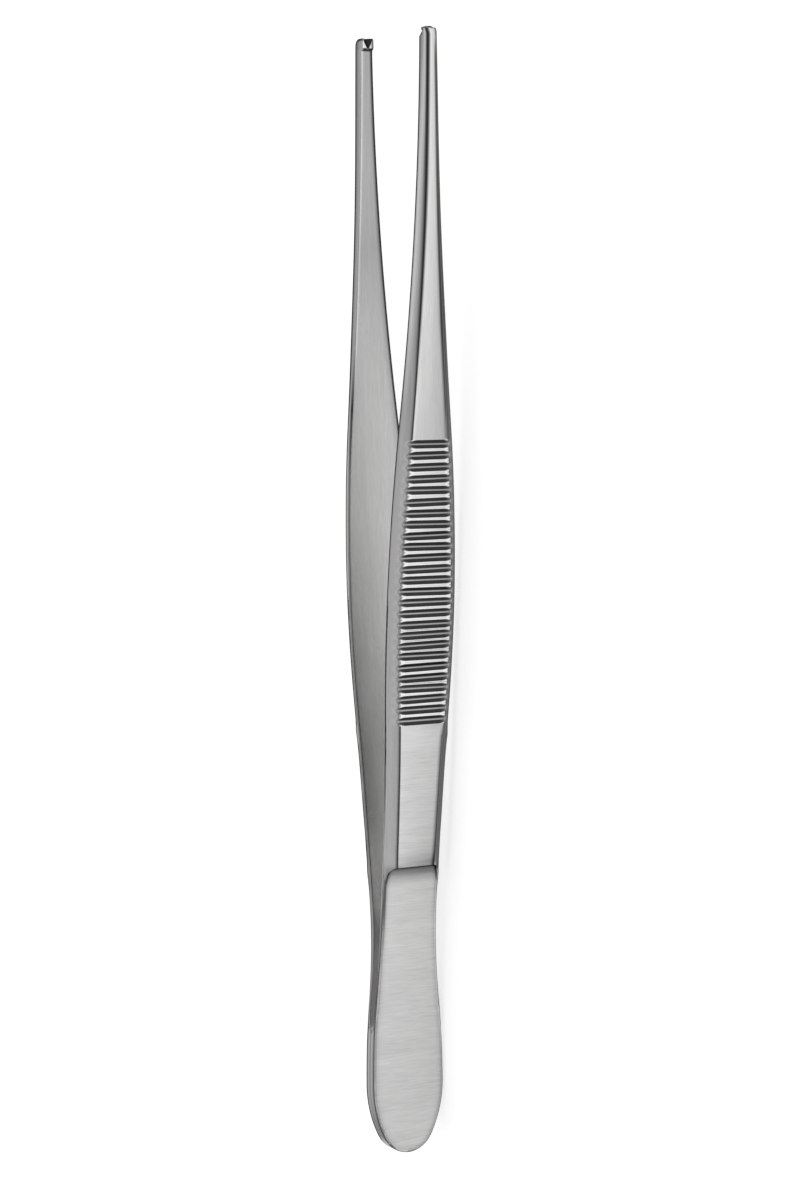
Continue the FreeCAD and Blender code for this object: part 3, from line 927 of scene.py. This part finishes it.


# Painted sheen of the arms: its painted shade and highlights as a share of the colour, how strong it is,
# and the painted glow in the narrow gap
def makePaintedSheenShade():
    group = bpy.data.node_groups.new("paintedSheenShade", "ShaderNodeTree")
    for name in ("Tone", "Mask", "PaintedGlow"):
        group.interface.new_socket(name, in_out="OUTPUT", socket_type="NodeSocketFloat")
    end = addNode(group, "NodeGroupOutput")
    edge = addNode(group, "ShaderNodeAttribute", attribute_name="paintedSheen")
    glow = addRange(group, (-2.0, steelLook["paintedGapGlow"]), (-1.0, 0.0))
    paintedHighlight = addRange(group, (-1.0, steelLook["paintedEdgeHighlight"]), (0.0, 1.0))
    paintedShade = addRange(group, (0.0, 1.0), (1.0, steelLook["paintedEdgeShade"]))
    both = addNode(group, "ShaderNodeMath", operation="MULTIPLY")
    mask = addNode(group, "ShaderNodeMath", operation="ABSOLUTE")
    connect(
        group,
        [
            ((edge, "Fac"), (paintedShade, "Value")),
            ((edge, "Fac"), (paintedHighlight, "Value")),
            ((paintedShade, "Result"), (both, 0)),
            ((paintedHighlight, "Result"), (both, 1)),
            ((both, "Value"), (end, "Tone")),
            ((edge, "Fac"), (glow, "Value")),
            ((glow, "Result"), (end, "PaintedGlow")),
            ((edge, "Fac"), (mask, 0)),
            ((mask, "Value"), (end, "Mask")),
        ],
    )
    return group


brushMarks, paintedSheenShade = makeBrushMarks(), makePaintedSheenShade()


# Brushed steel, with the painted shade and highlights of the sheen in its colour. Where the painted sheen
# is dark, what the steel reflects at grazing angles is painted darker too.
def makeSteel(name, brushing):
    material = bpy.data.materials.new(name)
    material.use_nodes = True
    tree = material.node_tree
    shader = tree.nodes["Principled BSDF"]
    shader.inputs["Metallic"].default_value = 1.0
    shader.inputs["Emission Strength"].default_value = 1.0
    scale, share, height = brushing
    marks = addNode(tree, "ShaderNodeGroup", node_tree=brushMarks)
    marks.inputs["Scale"].default_value = scale
    marks.inputs["Share"].default_value = share
    edges = addNode(tree, "ShaderNodeGroup", node_tree=paintedSheenShade)
    tone = addNode(tree, "ShaderNodeMath", operation="MULTIPLY")
    color = addNode(tree, "ShaderNodeMix", data_type="RGBA", blend_type="MULTIPLY")
    color.inputs["Factor"].default_value = 1.0
    color.inputs[6].default_value = (*steelLook["color"], 1)  # 6 and 7 are the node's two colours
    rough = addRange(tree, (0.0, steelLook["roughness"]), (1.0, steelLook["edgeRoughness"]))
    paintedShade = addNode(tree, "ShaderNodeAttribute", attribute_name="paintedSheen")
    paintedGrazingShade = addRange(tree, (0.0, 1.0), (1.0, steelLook["paintedEdgeShade"]))
    bump = addNode(tree, "ShaderNodeBump")
    bump.inputs["Strength"].default_value = 1.0
    bump.inputs["Distance"].default_value = height
    connect(
        tree,
        [
            ((marks, "Tone"), (tone, 0)),
            ((edges, "Tone"), (tone, 1)),
            ((paintedShade, "Fac"), (paintedGrazingShade, "Value")),
            ((paintedGrazingShade, "Result"), (shader, "Specular Tint")),
            ((edges, "Mask"), (rough, "Value")),
            ((edges, "PaintedGlow"), (shader, "Emission Color")),
            ((rough, "Result"), (shader, "Roughness")),
            ((marks, "Height"), (bump, "Height")),
            ((bump, "Normal"), (shader, "Normal")),
            ((tone, "Value"), (color, 7)),
            ((color, 2), (shader, "Base Color")),
        ],
    )
    return material


# Steel inside a cut, plain and painted darker as the shade of the cut
def makeCutSteel(name, share):
    material = bpy.data.materials.new(name)
    material.use_nodes = True
    shader = material.node_tree.nodes["Principled BSDF"]
    shader.inputs["Base Color"].default_value = (*[level * share for level in steelLook["color"]], 1)
    shader.inputs["Metallic"].default_value = 1.0
    shader.inputs["Roughness"].default_value = steelLook["roughness"]
    return material


# In the order of the numbers that finishOf and cutPrism give
brushed = [
    makeSteel("lengthwiseSteel", steelLook["along"]),
    makeSteel("crosswiseSteel", steelLook["across"]),
]
steels = {
    "single": brushed + [makeCutSteel("toothPaintedShadeSteel", steelLook["tooth"])],
    "paired": brushed + [makeCutSteel("notchPaintedShadeSteel", steelLook["notch"])],
}
print("materials made")

oneToothArm = makeArm("oneToothArm", "single", cutSingleTooth, 0.0)
twoToothArm = makeArm("twoToothArm", "paired", cutPairedTeeth, math.pi)
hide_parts("one_tooth_arm")
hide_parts("two_tooth_arm")
for piece in (oneToothArm, twoToothArm):
    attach(piece, "root")
print("arms made")

studio = {
    "floorColor": 0.8,
    "floorGlow": 0.6,
    "floorRoughness": 0.9,
    "floorHalfSize": 3.0,  # lengths are in metres here
    "floorDrop": 0.0002,
    # brightness of the studio's dome by the sine of the height above the horizon
    "dome": ((0.0, 0.04), (0.12, 0.12), (0.35, 0.6), (0.6, 0.7), (1.0, 0.62)),
    # the camera looks across the opening and down by its elevation in degrees, at a point that lies
    # along the forceps from its middle and at the height of its axis
    "distance": 0.3909,
    "elevation": 28.19,
    "along": 0.0308,
    "axisHeight": 0.00508,
    "lens": 90.4,
    "sensorHeight": 36.0,
    "shift": (0.0016, -0.205),
    "roll": -0.525,
    "clip": (0.01, 20.0),
}


# Pale floor. What the camera and the reflections see of it glows by a share, so that it shows
# as white and still keeps a soft shadow.
def makeFloor():
    mesh = bmesh.new()
    bmesh.ops.create_grid(mesh, x_segments=1, y_segments=1, size=studio["floorHalfSize"])
    bmesh.ops.translate(mesh, verts=mesh.verts, vec=(0, 0, -studio["floorDrop"]))
    floor = bpy.data.objects.new("floor", bpy.data.meshes.new("floor"))
    mesh.to_mesh(floor.data)
    mesh.free()
    bpy.context.scene.collection.objects.link(floor)
    material = bpy.data.materials.new("paleFloor")
    material.use_nodes = True
    tree = material.node_tree
    shader = tree.nodes["Principled BSDF"]
    shader.inputs["Base Color"].default_value = (studio["floorColor"],) * 3 + (1,)
    shader.inputs["Roughness"].default_value = studio["floorRoughness"]
    shader.inputs["Specular IOR Level"].default_value = 0.0
    shader.inputs["Emission Color"].default_value = (1, 1, 1, 1)
    rays = addNode(tree, "ShaderNodeLightPath")
    seen = addNode(tree, "ShaderNodeMath", operation="ADD", use_clamp=True)
    glow = addNode(tree, "ShaderNodeMath", operation="MULTIPLY")
    glow.inputs[1].default_value = studio["floorGlow"]
    connect(
        tree,
        [
            ((rays, "Is Camera Ray"), (seen, 0)),
            ((rays, "Is Glossy Ray"), (seen, 1)),
            ((seen, "Value"), (glow, 0)),
            ((glow, "Value"), (shader, "Emission Strength")),
        ],
    )
    floor.data.materials.append(material)


# Camera at the photo's angle, upright along the forceps
def makeCamera():
    camera = bpy.data.objects.new("camera", bpy.data.cameras.new("camera"))
    bpy.context.scene.collection.objects.link(camera)
    elevation = math.radians(studio["elevation"])
    back = Vector((math.cos(elevation), 0, math.sin(elevation)))
    up = Vector((0, 1, 0))
    right = up.cross(back)
    place = Vector((0, studio["along"], studio["axisHeight"])) + back * studio["distance"]
    roll = Matrix.Rotation(math.radians(studio["roll"]), 4, "Z")
    turn = Matrix((right, up, back)).transposed().to_4x4() @ roll
    camera.matrix_world = Matrix.Translation(place) @ turn
    camera.data.lens = studio["lens"]
    camera.data.sensor_fit = "VERTICAL"
    camera.data.sensor_height = studio["sensorHeight"]
    camera.data.shift_x, camera.data.shift_y = studio["shift"]
    camera.data.clip_start, camera.data.clip_end = studio["clip"]
    bpy.context.scene.camera = camera


# Soft dome of light, the same all round
def makeDome():
    world = bpy.data.worlds.new("studio")
    bpy.context.scene.world = world
    world.use_nodes = True
    tree = world.node_tree
    place = addNode(tree, "ShaderNodeTexCoord")
    split = addNode(tree, "ShaderNodeSeparateXYZ")
    ramp = addNode(tree, "ShaderNodeValToRGB")
    setStops(ramp, studio["dome"])
    connect(
        tree,
        [
            ((place, "Generated"), (split, 0)),
            ((split, "Z"), (ramp, "Fac")),
            ((ramp, "Color"), (tree.nodes["Background"], "Color")),
        ],
    )


makeFloor()
makeCamera()
makeDome()
bpy.context.scene.view_settings.view_transform = "Standard"
print("studio made")
